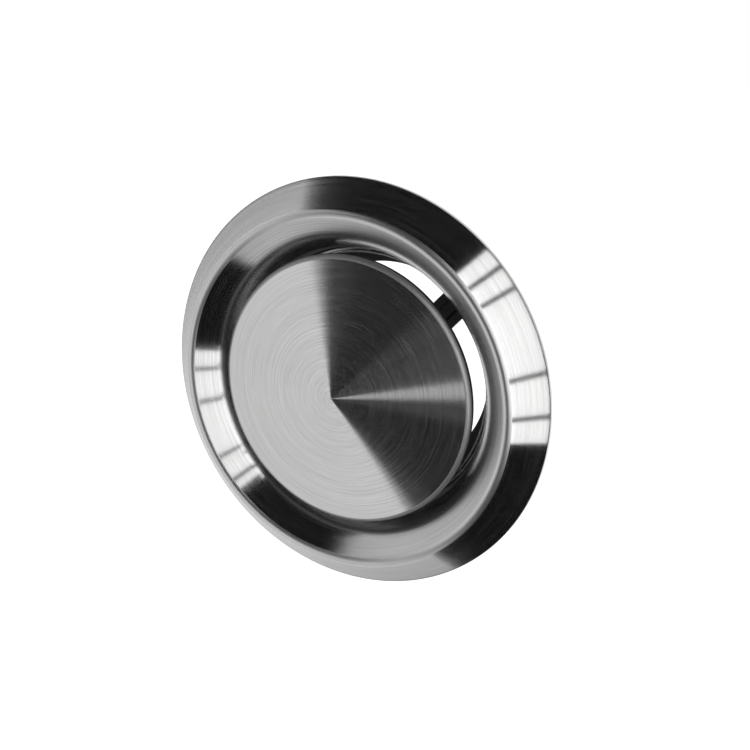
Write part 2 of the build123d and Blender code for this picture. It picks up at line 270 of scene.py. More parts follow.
@dataclass(frozen=True)
class BrushedStainless:
    """Stainless sheet brushed in circles: its highlights open into fans from the axis."""

    name: str = "brushed_stainless"
    dark: Tint = (0.25, 0.25, 0.25)
    light: Tint = (0.98, 0.98, 0.975)
    smoothest: float = 0.12
    roughest: float = 0.20
    anisotropy: float = 1.0
    spacing: float = 0.15 * MM
    arcs: float = 0.4
    groove: float = 0.02 * MM
    scratched: float = 0.07
    scratched_from: float = 0.5
    scratched_most: float = 0.75
    band_share: float = 0.4
    groove_strength: float = 0.25
    grain_turn: float = 0.25

    def make(self, effects: EffectGroups) -> bpy.types.Material:
        """Build the material.

        Args:
            effects: Shared node groups.

        Returns:
            The finished material.
        """
        material = bpy.data.materials.new(self.name)
        material.use_nodes = True
        bench = ShaderBench(material.node_tree)
        brushed = bench.node("ShaderNodeGroup", node_tree=effects.brushed_rounds())
        brushed.inputs["Spacing"].default_value = self.spacing
        brushed.inputs["Arcs"].default_value = self.arcs
        streak, band = brushed.outputs["Streak"], brushed.outputs["Band"]
        fine = bench.sum("MULTIPLY", streak, 1.0 - self.band_share)
        worn = bench.sum("MULTIPLY_ADD", band, self.band_share, fine)
        bare = bench.spread(streak, 1.0, 1.0 - self.scratched, self.scratched_from, self.scratched_most)
        round_way = bench.node("ShaderNodeTangent", direction_type="UV_MAP", uv_map=RUN_MAP)
        raised = {"Height": streak, "Strength": self.groove_strength, "Distance": self.groove}
        shader = bench.node(
            "ShaderNodeBsdfPrincipled",
            {
                "Base Color": bench.tint(worn, self.dark, self.light),
                "Roughness": bench.spread(worn, self.smoothest, self.roughest),
                "Metallic": bare,
                "Anisotropic": self.anisotropy,
                "Anisotropic Rotation": self.grain_turn,
                "Tangent": round_way.outputs[0],
                "Normal": bench.node("ShaderNodeBump", raised).outputs[0],
            },
        )
        bench.node("ShaderNodeOutputMaterial", {"Surface": shader.outputs[0]})
        return material


@dataclass(frozen=True)
class CloudedFinish:
    """Finish with soft patches of tone and gloss and a fine grain: plating, strip, coat or foam."""

    name: str
    first: Tint
    second: Tint
    smoothest: float
    roughest: float
    metallic: float
    patch_scale: float
    grain_scale: float
    grain_depth: float
    grain_strength: float = 0.6

    def make(self, effects: EffectGroups) -> bpy.types.Material:
        """Build the material.

        Args:
            effects: Shared node groups.

        Returns:
            The finished material.
        """
        material = bpy.data.materials.new(self.name)
        material.use_nodes = True
        bench = ShaderBench(material.node_tree)
        cloud = bench.node("ShaderNodeGroup", node_tree=effects.cloud())
        cloud.inputs["Patch Scale"].default_value = self.patch_scale
        cloud.inputs["Grain Scale"].default_value = self.grain_scale
        patch, grain = cloud.outputs["Patch"], cloud.outputs["Grain"]
        raised = {"Height": grain, "Strength": self.grain_strength, "Distance": self.grain_depth}
        shader = bench.node(
            "ShaderNodeBsdfPrincipled",
            {
                "Base Color": bench.tint(patch, self.first, self.second),
                "Roughness": bench.spread(grain, self.smoothest, self.roughest),
                "Metallic": self.metallic,
                "Normal": bench.node("ShaderNodeBump", raised).outputs[0],
            },
        )
        bench.node("ShaderNodeOutputMaterial", {"Surface": shader.outputs[0]})
        return material


FINISHES = {
    Slot.STAINLESS: BrushedStainless(),
    # Black coat of the collar; on the bridge bar, the ring's throat band and the disc's skirt, all steel
    # in shade, it is painted shade.
    Slot.BLACK_COAT: CloudedFinish(
        name="black_coat",
        first=(0.014, 0.014, 0.015),
        second=(0.026, 0.026, 0.028),
        smoothest=0.36,
        roughest=0.52,
        metallic=0.0,
        patch_scale=90.0,
        grain_scale=2200.0,
        grain_depth=0.03 * MM,
    ),
    Slot.ZINC_STEEL: CloudedFinish(
        name="zinc_plate",
        first=(0.50, 0.51, 0.53),
        second=(0.66, 0.66, 0.65),
        smoothest=0.24,
        roughest=0.42,
        metallic=1.0,
        patch_scale=140.0,
        grain_scale=1800.0,
        grain_depth=0.01 * MM,
    ),
    Slot.SPRING_STEEL: CloudedFinish(
        name="spring_strip",
        first=(0.30, 0.295, 0.285),
        second=(0.44, 0.43, 0.41),
        smoothest=0.28,
        roughest=0.46,
        metallic=1.0,
        patch_scale=160.0,
        grain_scale=1500.0,
        grain_depth=0.01 * MM,
    ),
    Slot.FOAM: CloudedFinish(
        name="closed_cell_foam",
        first=(0.030, 0.030, 0.032),
        second=(0.065, 0.065, 0.068),
        smoothest=0.85,
        roughest=1.0,
        metallic=0.0,
        patch_scale=120.0,
        grain_scale=900.0,
        grain_depth=0.25 * MM,
    ),
}
CREST_FINISH = CloudedFinish(
    name="satin_crest",
    first=(0.56, 0.56, 0.56),
    second=(0.70, 0.70, 0.695),
    smoothest=0.30,
    roughest=0.40,
    metallic=1.0,
    patch_scale=60.0,
    grain_scale=2400.0,
    grain_depth=0.006 * MM,
)
RIM_FINISH = replace(
    CREST_FINISH,
    name="satin_rim",
    first=(0.36, 0.36, 0.36),
    second=(0.50, 0.50, 0.495),
    smoothest=0.46,
    roughest=0.60,
)


@dataclass(frozen=True)
class SheetSection:
    """Section of a bent sheet in radius and height, with the room at larger heights.

    Its face runs through the corners, with a bend radius at each inner one. The sheet lies to the
    left of that run, or to the right where its thickness is negative.
    """

    corners: tuple[Corner, ...]
    bends: tuple[float, ...]
    sheet: float

    def bend_span(self, number: int) -> Corner:
        """Find where a bend starts and ends along the face.

        Args:
            number: Which bend, counted from 1.

        Returns:
            Its two distances from the face's first corner.
        """
        face = [Vector(corner) for corner in self.corners]
        start, end, setback = 0.0, 0.0, 0.0
        for bend, radius in enumerate(self.bends[:number], start=1):
            arriving, leaving = face[bend] - face[bend - 1], face[bend + 1] - face[bend]
            turn = arriving.angle(leaving)
            start = end + arriving.length - setback - radius * math.tan(turn / 2)
            setback = radius * math.tan(turn / 2)
            end = start + radius * turn
        return start, end

    def back(self) -> tuple[tuple[Corner, ...], tuple[float, ...]]:
        """Work out the sheet's other face.

        Returns:
            The back's corners and the bend radii at its inner ones.
        """
        face = [Vector(corner) for corner in self.corners]
        runs = [(end - start).normalized() for start, end in zip(face, face[1:])]
        sides = [Vector((-run.y, run.x)) * self.sheet for run in runs]
        points = [face[0] + sides[0]]
        radii = []
        for bend, radius in enumerate(self.bends, start=1):
            before, after = sides[bend - 1], sides[bend]
            points.append(face[bend] + (before + after) / (1 + before.dot(after) / self.sheet**2))
            turns_left = runs[bend - 1].cross(runs[bend]) > 0
            radii.append(radius - self.sheet if turns_left else radius + self.sheet)
        points.append(face[-1] + sides[-1])
        return tuple(tuple(point) for point in points), tuple(radii)

    def outline(self) -> tuple[tuple[Corner, ...], tuple[float, ...]]:
        """Work out the closed outline of the sheet, along its face and home along its back.

        Returns:
            The outline's corners and the bend radius at each, 0 at the sheet's ends.
        """
        back, back_bends = self.back()
        bends = (0.0, *self.bends, 0.0, 0.0, *reversed(back_bends), 0.0)
        return (*self.corners, *reversed(back)), bends


@dataclass
class Lathe:
    """Draws an outline in radius and height and spins it into a closed piece."""

    steps: int = 240
    bend_degrees: float = 6.0
    longest_run: float = 1.2
    sharp_degrees: float = 40.0

    def draw(
        self, bm: bmesh.types.BMesh, corners: Sequence[Corner], bends: Sequence[float], closed: bool
    ) -> None:
        """Draw an outline as edges in the half plane at +X, with its corners rounded.

        Args:
            bm: Mesh that the outline goes into.
            corners: Corners of the outline in order, in millimetres.
            bends: Bend radius at every corner, 0 for a sharp one.
            closed: Whether the last corner joins the first.
        """
        points = [Vector((radius, -height, 0.0)) * MM for radius, height in corners]
        chain = [bm.verts.new(point) for point in points]
        for start, end in zip(chain, chain[1:] + chain[:1] * closed):
            bm.edges.new((start, end))
        for place, bend in enumerate(bends):
            if not bend:
                continue
            here = points[place]
            arriving = here - points[place - 1]
            leaving = points[(place + 1) % len(points)] - here
            turn = arriving.angle(leaving)
            bmesh.ops.bevel(
                bm,
                geom=[chain[place]],
                offset=bend * MM * math.tan(turn / 2),
                offset_type="OFFSET",
                segments=max(2, math.ceil(math.degrees(turn) / self.bend_degrees)),
                profile=0.5,
                affect="VERTICES",
                material=-1,
            )
        for edge in list(bm.edges):
            cuts = math.ceil(edge.calc_length() / (self.longest_run * MM)) - 1
            if cuts > 0:
                bmesh.ops.subdivide_edges(bm, edges=[edge], cuts=cuts)

    def measure(self, bm: bmesh.types.BMesh, corners: Sequence[Corner]) -> bmesh.types.BMLayerItem:
        """Store the distance along the outline at each of its points, in the order of its corners.

        Args:
            bm: Mesh that holds the outline.
            corners: Corners of the outline, in millimetres.

        Returns:
            The layer of distances, in metres.
        """
        layer = bm.verts.layers.float.new("run")
        first, second = (Vector((radius, -height, 0.0)) * MM for radius, height in corners[:2])
        here = min(bm.verts, key=lambda vert: (vert.co - first).length)
        walked = 0.0
        seen = {here}
        while True:
            here[layer] = walked
            onward = [vert for edge in here.link_edges for vert in edge.verts if vert not in seen]
            if not onward:
                return layer
            ahead = max(onward, key=lambda vert: (vert.co - first).dot(second - first))
            walked += (ahead.co - here.co).length
            here = ahead
            seen.add(here)

    def paint_bands(
        self, bm: bmesh.types.BMesh, layer: bmesh.types.BMLayerItem, bands: Sequence[Corner]
    ) -> None:
        """Give stretches of the surface the piece's further finishes, in order.

        Args:
            bm: The spun mesh.
            layer: Distances along the outline.
            bands: Where each stretch starts and ends along the outline, in millimetres.
        """
        for face in bm.faces:
            middle = sum(vert[layer] for vert in face.verts) / len(face.verts) / MM
            for number, (start, end) in enumerate(bands, start=1):
                if start < middle < end:
                    face.material_index = number

    def spin(self, bm: bmesh.types.BMesh) -> None:
        """Spin the outline once round the valve's axis, and close its seam and poles.

        Args:
            bm: Mesh that holds the outline.
        """
        bmesh.ops.spin(
            bm,
            geom=[*bm.verts, *bm.edges],
            cent=(0, 0, 0),
            axis=SPIN_AXIS,
            angle=math.tau,
            steps=self.steps,
            use_merge=True,
        )
        bmesh.ops.remove_doubles(bm, verts=list(bm.verts), dist=MERGE)
        bmesh.ops.recalc_face_normals(bm, faces=list(bm.faces))

    def unwrap(self, bm: bmesh.types.BMesh, layer: bmesh.types.BMLayerItem) -> None:
        """Lay the surface out: U is the share of a turn and V the distance along the outline.

        Args:
            bm: The spun mesh.
            layer: Distances along the outline.
        """
        laid = bm.loops.layers.uv.new(RUN_MAP)
        for face in bm.faces:
            middle = face.calc_center_median()
            facing = math.atan2(middle.z, middle.x)
            for loop in face.loops:
                spot = loop.vert.co
                turned = math.atan2(spot.z, spot.x) - facing if spot.xz.length > ON_AXIS else 0.0
                turned = (turned + math.pi) % math.tau - math.pi
                loop[laid].uv = ((facing + turned) / math.tau, loop.vert[layer])

    def turn(
        self,
        name: str,
        corners: Sequence[Corner],
        bends: Sequence[float],
        closed: bool,
        bands: Sequence[Corner] = (),
    ) -> bpy.types.Object:
        """Make a spun piece.

        Args:
            name: Name of the piece.
            corners: Corners of its outline, in millimetres.
            bends: Bend radius at every corner.
            closed: Whether the outline closes, or starts and ends on the axis.
            bands: Stretches along the outline that have the piece's further finishes.

        Returns:
            The new object.
        """
        bm = bmesh.new()
        self.draw(bm, corners, bends, closed)
        layer = self.measure(bm, corners)
        self.spin(bm)
        self.unwrap(bm, layer)
        self.paint_bands(bm, layer, bands)
        return keep(bm, name, self.sharp_degrees)


def keep(bm: bmesh.types.BMesh, name: str, sharp_degrees: float) -> bpy.types.Object:
    """Turn a finished bmesh into an object at the origin, shaded smooth between its sharp edges.

    Args:
        bm: The finished mesh; it is freed.
        name: Name of the object.
        sharp_degrees: Angle from which an edge stays sharp.

    Returns:
        The new object.
    """
    mesh = bpy.data.meshes.new(name)
    for face in bm.faces:
        face.smooth = True
    bm.to_mesh(mesh)
    bm.free()
    mesh.set_sharp_from_angle(angle=math.radians(sharp_degrees))
    made = bpy.data.objects.new(name, mesh)
    bpy.context.scene.collection.objects.link(made)
    return made


def dress(
    piece: bpy.types.Object, body: Body, finishes: Sequence[bpy.types.Material], node: str
) -> None:
    """Give a new piece its finishes and its body, and hide the CAD node that it stands for.

    Args:
        piece: The new piece.
        body: Body that it rides on.
        finishes: Its main finish, and those of its bands.
        node: CAD node that it replaces.
    """
    for finish in finishes:
        piece.data.materials.append(finish)
    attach(piece, body.value)
    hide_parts(node)
    LOG.info("%s: %d faces, rides on %s", piece.name, len(piece.data.polygons), body.value)


@dataclass
class FrontRing:
    """Flange, crest and bellmouth in one spun sheet, with a curled edge turned in behind the throat."""

    sheet: float = 0.8
    throat_radius: float = 44.7
    throat_land: float = 1.2
    bellmouth_width: float = 14.0
    bellmouth_slope: float = 36.0
    bellmouth_radius: float = 17.0
    crest_height: float = 12.1
    crest_radius: float = 2.3
    flare_width: float = 10.3
    edge_return: float = 1.2
    edge_radius: float = 0.9
    turn_in: float = 1.9
    turn_in_radius: float = 0.9
    bead_radius: float = 0.55
    bead_sides: int = 4
    bead_ease: float = 0.999
    crest_bend: int = 2
    throat_bend: int = 3
    # Lean from which the steel throat is painted black: painted shade for the dark inside of the neck.
    shaded_throat_lean: float = 68.0

    def bellmouth_corner(self) -> float:
        """Height of the bellmouth's sharp corner at the throat."""
        return self.crest_height - self.bellmouth_width * math.tan(math.radians(self.bellmouth_slope))

    def throat_end(self) -> float:
        """Height of the face of the in-turned edge."""
        half_turn = math.radians(90.0 - self.bellmouth_slope) / 2
        return self.bellmouth_corner() - self.bellmouth_radius * math.tan(half_turn) - self.throat_land

    def curl(self) -> list[Corner]:
        """Corners round the bead at the sheet's inner edge, from its face to its back.

        Returns:
            Corners that a bend of the bead's radius rounds into its circle.
        """
        middle = (self.throat_radius - self.turn_in, self.throat_end() - self.sheet / 2)
        first = math.asin(self.sheet / 2 / self.bead_radius)
        step = (math.tau - 2 * first) / self.bead_sides
        reach = self.bead_radius / math.cos(step / 2)
        angles = [first + step * (side + 0.5) for side in range(self.bead_sides)]
        ways = [(math.cos(angle), math.sin(angle)) for angle in angles]
        return [(middle[0] + reach * across, middle[1] + reach * up) for across, up in ways]

    def section(self) -> SheetSection:
        """Work out the sheet's section.

        Returns:
            Its section from the outer edge to the start of the bead.
        """
        bead_start = self.throat_radius - self.turn_in
        bead_start += math.sqrt(self.bead_radius**2 - (self.sheet / 2) ** 2)
        crest = self.throat_radius + self.bellmouth_width
        edge = crest + self.flare_width
        corners = (
            (edge, 0.0),
            (edge, self.edge_return),
            (crest, self.crest_height),
            (self.throat_radius, self.bellmouth_corner()),
            (self.throat_radius, self.throat_end()),
            (bead_start, self.throat_end()),
        )
        bends = (self.edge_radius, self.crest_radius, self.bellmouth_radius, self.turn_in_radius)
        return SheetSection(corners, bends, self.sheet)

    def bands(self) -> list[Corner]:
        """Find the stretches that aren't brushed.

        Returns:
            Those of the crest and of the throat's black band of painted shade, as distances from the
            outer edge.
        """
        face = self.section()
        start, end = face.bend_span(self.throat_bend)
        throat_shade_start = start + self.bellmouth_radius * math.radians(self.shaded_throat_lean - self.bellmouth_slope)
        return [face.bend_span(self.crest_bend), (throat_shade_start, end + self.throat_land)]

    def build(self, *finishes: bpy.types.Material) -> bpy.types.Object:
        """Spin the ring and dress it.

        Args:
            *finishes: Finishes of the ring, of its rounded crest and of its throat, whose black is
                       painted shade.

        Returns:
            The ring.
        """
        face = self.section()
        back, back_bends = face.back()
        curl = self.curl()
        corners = (*face.corners, *curl, *reversed(back))
        bead_bends = [self.bead_radius * self.bead_ease] * len(curl)
        bends = (0.0, *face.bends, 0.0, *bead_bends, 0.0, *reversed(back_bends), 0.0)
        ring = Lathe().turn("brushed_front_ring", corners, bends, closed=True, bands=self.bands())
        dress(ring, Body.HOUSING, finishes, "front_ring")
        return ring


@dataclass
class ValveDisc:
    """Shallow cone with its rim rolled over into a short skirt and a hem."""

    sheet: float = 0.8
    radius: float = 45.15
    rise: float = 9.0
    corner_height: float = 9.4
    rim_radius: float = 1.7
    skirt: float = 3.4
    hem: float = 2.2
    hem_radius: float = 1.1

    def section(self) -> SheetSection:
        """Work out the sheet's section.

        Returns:
            Its section from the apex to the hem.
        """
        edge_height = self.corner_height - self.skirt
        corners = (
            (0.0, self.corner_height + self.rise),
            (self.radius, self.corner_height),
            (self.radius, edge_height),
            (self.radius - self.hem, edge_height),
        )
        return SheetSection(corners, (self.rim_radius, self.hem_radius), -self.sheet)

    def bands(self) -> list[Corner]:
        """Stretches of the rolled rim and of the skirt with its hem, whose black is painted shade, as
        distances from the apex.
        """
        start, end = self.section().bend_span(1)
        # The steel skirt and hem take the black coat as painted shade round the disc's edge.
        return [(start, end), (end, end + self.skirt + self.hem)]

    def build(self, *finishes: bpy.types.Material) -> bpy.types.Object:
        """Spin the disc and dress it.

        Args:
            *finishes: Finishes of the disc, of its rolled rim and of its skirt, whose black is painted
                       shade.

        Returns:
            The disc.
        """
        face = self.section()
        back, back_bends = face.back()
        fall = self.rise / self.radius
        apex_back = (0.0, face.corners[0][1] - self.sheet * math.hypot(1.0, fall))
        corners = face.corners + tuple(reversed(back[1:])) + (apex_back,)
        bends = (0.0, *face.bends, 0.0, 0.0, *reversed(back_bends), 0.0)
        disc = Lathe().turn("brushed_valve_disc", corners, bends, closed=False, bands=self.bands())
        dress(disc, Body.DISC, finishes, "valve_disc")
        return disc


@dataclass
class NeckCollar:
    """Black collar behind the ring: a seat on the bellmouth's back, a wall and an in-turned rear lip."""

    ring: FrontRing
    sheet: float = 1.0
    seat_gap: float = 0.05
    seat_land: float = 1.2
    length: float = 16.3
    lip: float = 9.85
    bend_radius: float = 1.5

    def build(self, material: bpy.types.Material) -> bpy.types.Object:
        """Spin the collar and dress it.

        Args:
            material: Finish of the collar.

        Returns:
            The collar.
        """
        slope = math.radians(self.ring.bellmouth_slope)
        half_turn = (math.pi / 2 - slope) / 2
        gap = self.ring.sheet + self.seat_gap
        inner = self.ring.throat_radius + gap
        seat_radius = self.ring.bellmouth_radius - gap
        seat_corner = self.ring.bellmouth_corner() - gap * math.tan(half_turn)
        seat = seat_radius * math.tan(half_turn) + self.seat_land
        lip_height = self.ring.throat_end() - self.length
        corners = (
            (inner - self.lip, lip_height),
            (inner, lip_height),
            (inner, seat_corner),
            (inner + seat * math.cos(slope), seat_corner + seat * math.sin(slope)),
        )
        section = SheetSection(corners, (self.bend_radius, seat_radius), -self.sheet)
        collar = Lathe().turn("coated_neck_collar", *section.outline(), closed=True)
        dress(collar, Body.HOUSING, [material], "neck_collar")
        return collar


@dataclass
class SpringClip:
    """Spring strip riveted to the collar, bent back over its rivet and crowned to grip the duct."""

    ring: FrontRing
    angle: float
    sheet: float = 0.6
    width: float = 10.0
    root_radius: float = 46.6
    rivet_setback: float = 6.1
    root_lead: float = 4.5
    root_tail: float = 8.5
    bend_radius: float = 1.4
    crown_stand: float = 4.6
    crown_lead: float = 3.0
    crown_radius: float = 3.0
    tip_lead: float = 7.0
    tip_drop: float = 2.0
    steps: int = 6

    def section(self) -> SheetSection:
        """Work out the strip's section.

        Returns:
            Its section from the root to the tip.
        """
        rivet = self.ring.throat_end() - self.rivet_setback
        bend = rivet - self.root_tail
        crown = self.root_radius + self.crown_stand
        corners = (
            (self.root_radius, rivet + self.root_lead),
            (self.root_radius, bend),
            (self.root_radius + 2 * self.bend_radius + self.sheet, bend),
            (crown, rivet + self.crown_lead),
            (crown - self.tip_drop, rivet + self.tip_lead),
        )
        return SheetSection(corners, (self.bend_radius, self.bend_radius, self.crown_radius), self.sheet)

    def build(self, number: int, material: bpy.types.Material) -> bpy.types.Object:
        """Sweep the strip's section round the collar and dress it.

        Args:
            number: Which clip, counted from 1.
            material: Finish of the strip.

        Returns:
            The clip.
        """
        sweep = self.width / self.root_radius
        bm = bmesh.new()
        Lathe().draw(bm, *self.section().outline(), closed=True)
        bmesh.ops.contextual_create(bm, geom=list(bm.edges))
        turned = Matrix.Rotation(math.radians(self.angle) - sweep / 2, 3, -SPIN_AXIS)
        bmesh.ops.rotate(bm, verts=list(bm.verts), cent=(0, 0, 0), matrix=turned)
        bmesh.ops.spin(
            bm,
            geom=[*bm.verts, *bm.edges, *bm.faces],
            cent=(0, 0, 0),
            axis=-SPIN_AXIS,
            angle=sweep,
            steps=self.steps,
            use_merge=False,
        )
        bmesh.ops.triangulate(bm, faces=[side for side in bm.faces if len(side.verts) > 4])
        bmesh.ops.recalc_face_normals(bm, faces=list(bm.faces))
        clip = keep(bm, f"bent_spring_clip_{number}", SHARP_FROM)
        dress(clip, Body.HOUSING, [material], f"spring_clip_{number}")
        return clip


@dataclass
class FlangeGasket:
    """Foam strip against the wall, with soft edges, bonded inside the flare."""

    inner: float = 57.0
    outer: float = 66.5
    height: float = 5.0
    outer_height: float = 2.63
    bonded_radius: float = 64.26
    soft_edge: float = 0.7

    def build(self, material: bpy.types.Material) -> bpy.types.Object:
        """Spin the strip and dress it.

        Args:
            material: Finish of the foam.

        Returns:
            The gasket.
        """
        corners = (
            (self.inner, 0.0),
            (self.outer, 0.0),
            (self.outer, self.outer_height),
            (self.bonded_radius, self.height),
            (self.inner, self.height),
        )
        bends = (self.soft_edge, self.soft_edge, self.soft_edge / 2, self.soft_edge / 2, self.soft_edge)
        gasket = Lathe().turn("foam_flange_gasket", corners, bends, closed=True)
        dress(gasket, Body.HOUSING, [material], "flange_gasket")
        return gasket


@dataclass
class Spindle:
    """Threaded rod with a riveted head inside the disc and a clip groove near its tail."""

    radius: float = 3.0
    pitch: float = 1.0
    depth: float = 0.54
    crest_share: float = 0.14
    head_radius: float = 5.2
    head_height: float = 1.5
    head_seat: float = 12.636
    chamfer: float = 0.5
    groove_radius: float = 2.3
    groove: tuple[float, float] = (-42.733, -41.733)
    tail: float = -44.233
    turn_steps: int = 24
    end_steps: int = 48
    spare_turns: int = 2

    def cut_thread(self, bm: bmesh.types.BMesh) -> None:
        """Wind one tooth up the rod, cut both ends square and close them.

        Args:
            bm: Mesh that the thread goes into.
        """
        low, high = self.groove[1], self.head_seat + self.chamfer
        flank = (1.0 - 2 * self.crest_share) / 2
        minor = self.radius - self.depth
        start = low - self.spare_turns * self.pitch
        shares = (0.0, flank, flank + self.crest_share, 2 * flank + self.crest_share, 1.0)
        radii = (minor, self.radius, self.radius, minor, minor)
        tooth = [
            bm.verts.new(Vector((radius, -(start + share * self.pitch), 0.0)) * MM)
            for share, radius in zip(shares, radii)
        ]
        edges = [bm.edges.new(pair) for pair in zip(tooth, tooth[1:])]
        turns = math.ceil((high - start) / self.pitch) + self.spare_turns
        climb = -SPIN_AXIS * (self.pitch * MM / self.turn_steps)
        bmesh.ops.spin(
            bm,
            geom=tooth + edges,
            cent=(0, 0, 0),
            axis=-SPIN_AXIS,
            dvec=climb,
            angle=math.tau * turns,
            steps=turns * self.turn_steps,
            use_merge=False,
        )
        bmesh.ops.remove_doubles(bm, verts=list(bm.verts), dist=MERGE)
        for height, side in ((low, SPIN_AXIS), (high, -SPIN_AXIS)):
            cut = bmesh.ops.bisect_plane(
                bm,
                geom=[*bm.verts, *bm.edges, *bm.faces],
                dist=CUT_SLACK,
                plane_co=(0.0, -height * MM, 0.0),
                plane_no=side,
                clear_outer=True,
            )
            rim = [part for part in cut["geom_cut"] if isinstance(part, bmesh.types.BMEdge)]
            bmesh.ops.contextual_create(bm, geom=rim)
        bmesh.ops.triangulate(bm, faces=[face for face in bm.faces if len(face.verts) > 4])
        bmesh.ops.recalc_face_normals(bm, faces=list(bm.faces))

    def turn_ends(self, bm: bmesh.types.BMesh) -> None:
        """Turn the grooved tail and the head, which overlap the thread's ends.

        Args:
            bm: Mesh that they go into.
        """
        tail = (
            (0.0, self.tail),
            (self.radius - self.chamfer, self.tail),
            (self.radius, self.tail + self.chamfer),
            (self.radius, self.groove[0]),
            (self.groove_radius, self.groove[0]),
            (self.groove_radius, self.groove[1] + self.chamfer),
            (0.0, self.groove[1] + self.chamfer),
        )
        top = self.head_seat + self.head_height
        head = (
            (0.0, self.head_seat),
            (self.head_radius, self.head_seat),
            (self.head_radius, top - self.chamfer),
            (self.head_radius - self.chamfer, top),
            (0.0, top),
        )
        lathe = Lathe(steps=self.end_steps)
        for corners in (tail, head):
            end = bmesh.new()
            lathe.draw(end, corners, [0.0] * len(corners), closed=False)
            lathe.spin(end)
            made = bpy.data.meshes.new("spindle_end")
            end.to_mesh(made)
            end.free()
            bm.from_mesh(made)
            bpy.data.meshes.remove(made)

    def build(self, material: bpy.types.Material) -> bpy.types.Object:
        """Cut the spindle and dress it.

        Args:
            material: Finish of the spindle.

        Returns:
            The spindle.
        """
        bm = bmesh.new()
        self.cut_thread(bm)
        self.turn_ends(bm)
        spindle = keep(bm, "threaded_spindle", SHARP_FROM)
        dress(spindle, Body.DISC, [material], "spindle")
        return spindle


@dataclass
class ViewPoint:
    """Camera at the photograph's angle."""

    azimuth: float = 28.39
    elevation: float = 17.80
    distance: float = 600.0
    aside: float = 5.444
    above: float = 2.656
    lens: float = 87.64
    sensor: float = 36.0
    nearest: float = 0.01
    farthest: float = 50.0

    def axes(self) -> tuple[Vector, Vector, Vector]:
        """Work out the camera's own axes.

        Returns:
            Unit vectors to its right, up, and back towards the camera.
        """
        turn, lift = math.radians(self.azimuth), math.radians(self.elevation)
        right = Vector((math.cos(turn), math.sin(turn), 0.0))
        level = Vector((math.sin(turn), -math.cos(turn), 0.0))
        back = level * math.cos(lift) + Vector((0.0, 0.0, math.sin(lift)))
        return right, back.cross(right), back

    def place(self) -> None:
        """Make the camera and hand it to the scene."""
        right, up, back = self.axes()
        spot = (back * self.distance + right * self.aside + up * self.above) * MM
        lens = bpy.data.cameras.new("view_point")
        lens.lens, lens.sensor_width = self.lens, self.sensor
        lens.clip_start, lens.clip_end = self.nearest, self.farthest
        camera = bpy.data.objects.new("view_point", lens)
        turned = Matrix((right, up, back)).transposed().to_4x4()
        camera.matrix_world = Matrix.Translation(spot) @ turned
        bpy.context.scene.collection.objects.link(camera)
        bpy.context.scene.camera = camera


class Shade(Enum):
    """Brightness of a studio card, where 1 is the white of the surround."""

    BLACK = 0.008
    DUSK = 0.30
    SLIT = 0.55
    DIM = 0.64
    GREY = 0.87
    PALE = 1.02
    WINDOW = 1.4
    DAYLIGHT = 2.4


Card = tuple[Corner, Shade]
RING_TILTS = (36.0, 46.6)


@dataclass(frozen=True)
class MirrorZone:
    """Row of studio cards that some slopes of the valve mirror towards the camera.

    A tilt is how steeply a slope leans outwards. The cards follow each other round the valve: each
    starts at its angle, counted from the right towards the top as seen from the room, and ends
    where the next one starts. The angles are given at two tilts, and a card's edges run straight
    through both.
    """

    name: str
    tilt: Corner
    cards: tuple[Card, ...]
    known: Corner = RING_TILTS

    def edge(self, angles: Corner, tilt: float) -> float:
        """Angle of a card's edge at a tilt."""
        share = (tilt - self.known[0]) / (self.known[1] - self.known[0])
        return angles[0] + (angles[1] - angles[0]) * share

    def stretches(self) -> list[tuple[Corner, Corner, Shade]]:
        """List the cards of the row.

        Returns:
            Start, end and shade of each.
        """
        starts = [start for start, _ in self.cards]
        ends = starts[1:] + [(starts[0][0] + 360.0, starts[0][1] + 360.0)]
        return [(start, end, shade) for (start, shade), end in zip(self.cards, ends)]


def straight(starts: Sequence[tuple[float, Shade]]) -> tuple[Card, ...]:
    """Make cards whose edges keep their angle at every tilt."""
    return tuple(((angle, angle), shade) for angle, shade in starts)


def window(pane: Shade, edges: Corner, bars: Sequence[float], bar_width: float = 1.4) -> tuple[Card, ...]:
    """Lay out a bright window with dark glazing bars.

    Args:
        pane: Shade of the panes.
        edges: Angles where the window starts and ends.
        bars: Angles of the bars' middles.
        bar_width: Angle that a bar takes.

    Returns:
        The window's cards, with a black one from its far edge on.
    """
    starts = [(edges[0], pane)]
    for bar in bars:
        starts += [(bar - bar_width / 2, Shade.BLACK), (bar + bar_width / 2, pane)]
    return straight([*starts, (edges[1], Shade.BLACK)])


DARK_FROM = ((-49.0, -55.0), Shade.BLACK)
LIGHT_FROM = (93.0, 102.5)
BELLMOUTH_WINDOW = window(Shade.WINDOW, (-5.9, 45.5), (1.0, 12.8, 32.7, 41.8))
FLARE_WINDOW = window(Shade.DAYLIGHT, (-8.0, 48.0), (-0.5, 11.5, 35.7, 42.3))
DISC_CARDS = straight(
    (
        (-59.0, Shade.DUSK),
        (-55.5, Shade.BLACK),
        (3.5, Shade.SLIT),
        (11.5, Shade.BLACK),
        (102.0, Shade.DUSK),
        (106.5, Shade.GREY),
    )
)
ZONES = (
    MirrorZone("disc", (0.5, 24.0), DISC_CARDS),
    MirrorZone("bellmouth", (24.0, 41.3), (DARK_FROM, *BELLMOUTH_WINDOW, (LIGHT_FROM, Shade.DIM))),
    MirrorZone("flare", (41.3, 50.5), (DARK_FROM, *FLARE_WINDOW, (LIGHT_FROM, Shade.PALE))),
    MirrorZone("steep", (50.5, 72.0), straight([(0.0, Shade.BLACK)])),
)


@dataclass(frozen=True)
class Lamp:
    """Square soft lamp that points at the valve: its place and side in metres, its power in watts."""

    name: str
    place: tuple[float, float, float]
    side: float
    power: float


